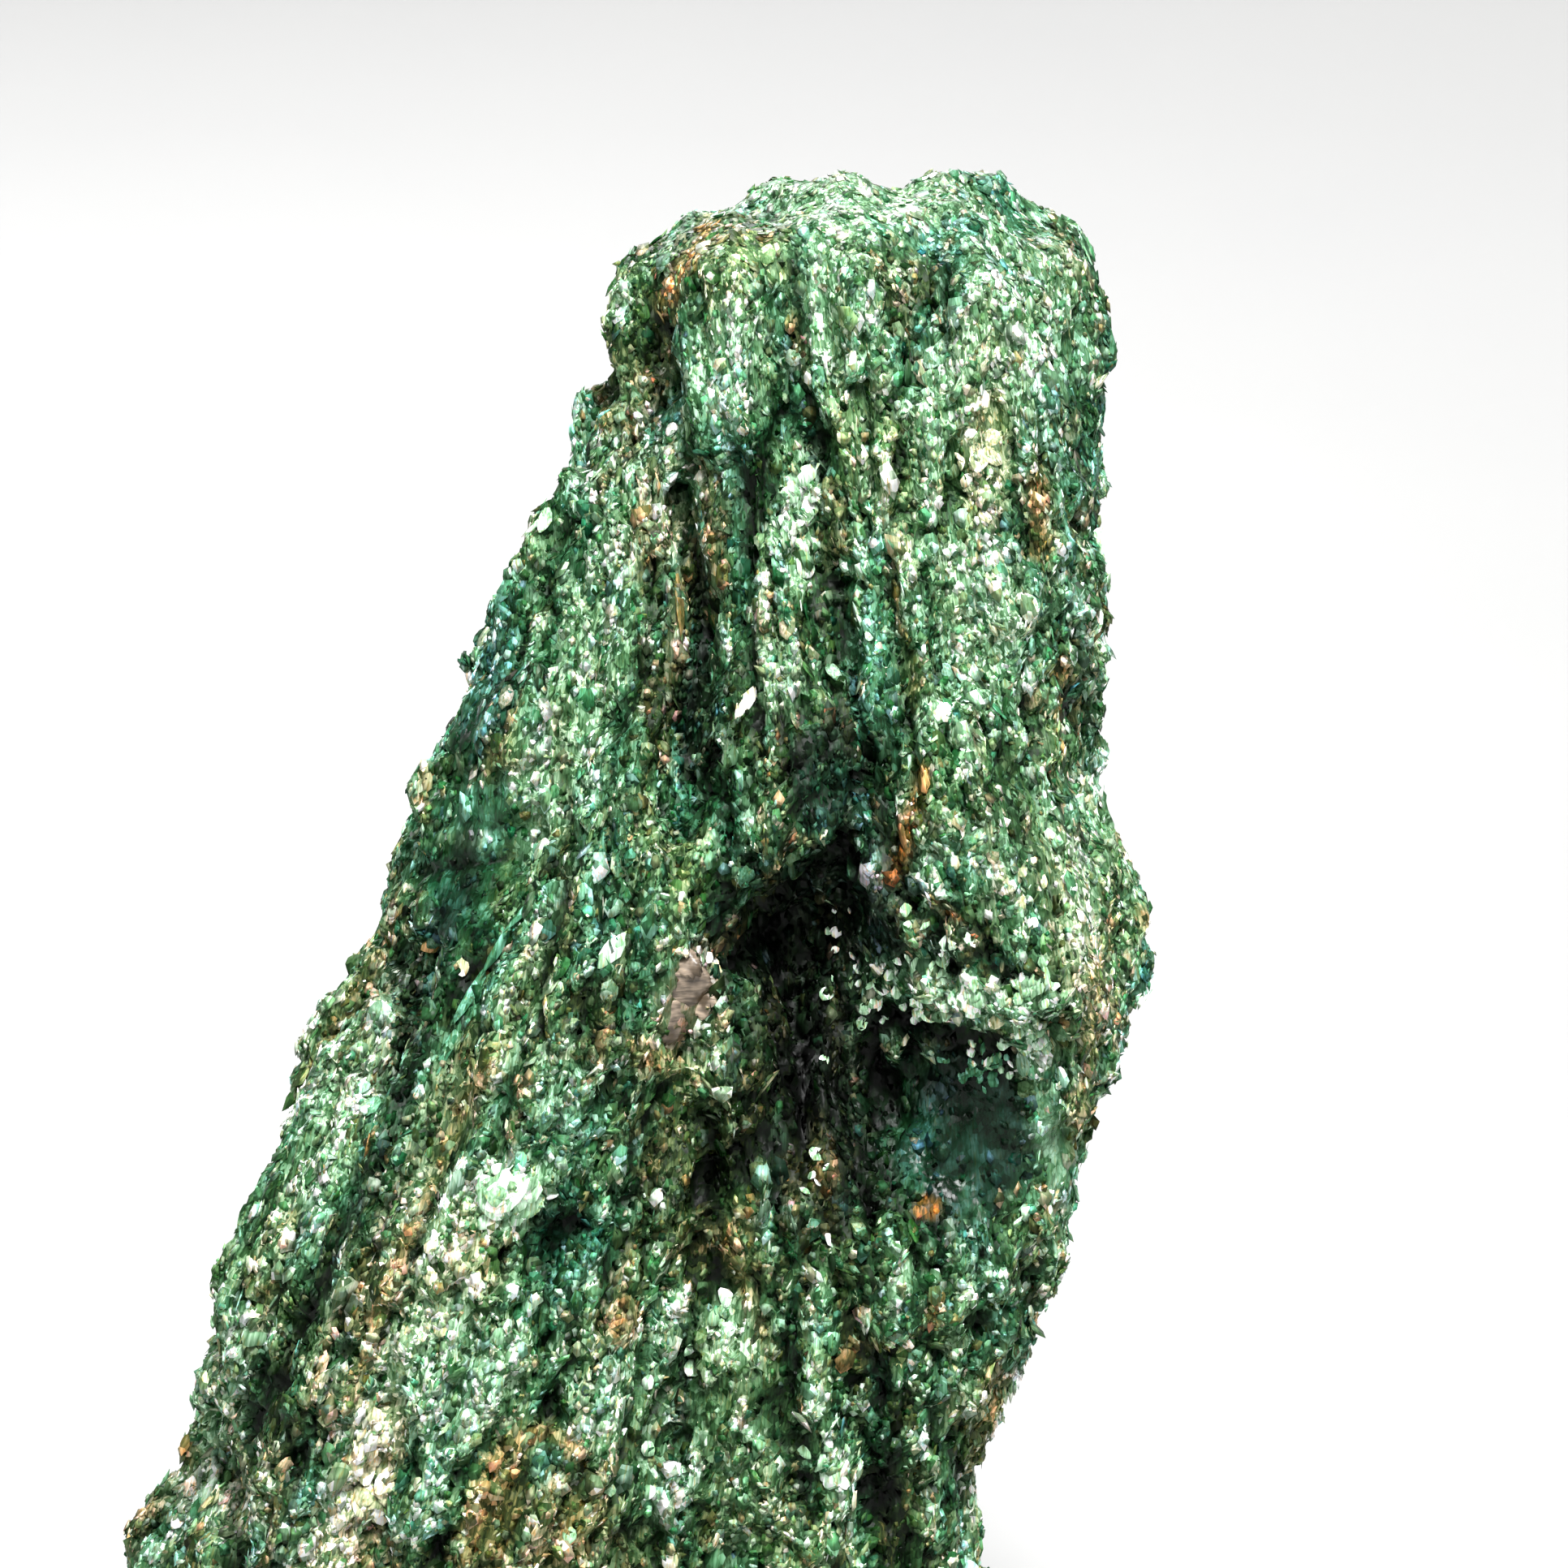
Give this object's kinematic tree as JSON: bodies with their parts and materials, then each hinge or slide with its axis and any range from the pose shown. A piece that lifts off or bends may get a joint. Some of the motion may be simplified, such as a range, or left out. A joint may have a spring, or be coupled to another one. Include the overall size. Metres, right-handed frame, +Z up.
{
  "type": "raw fuchsite mineral specimen",
  "caption": "Upright rough piece of green chromium mica schist with foliated ledges, a deep hollow under a rounded bulge, and a flat broken base.",
  "frame": {"origin": "middle of the bounding box, at the level of the flat base", "axes": "+Z up along the stone's length, broad front towards -Y, the rounded bulge on the +X side"},
  "size_m": [0.0592, 0.04, 0.0902],
  "materials": {
    "mica_schist": "rough, crumbly green mica schist with silky flakes and rusty seams",
    "mica_flakes": "thin glossy flakes of green mica"
  },
  "bodies": {
    "root": {"fuchsite_stone": "mica_schist"}
  },
  "joints": []
}
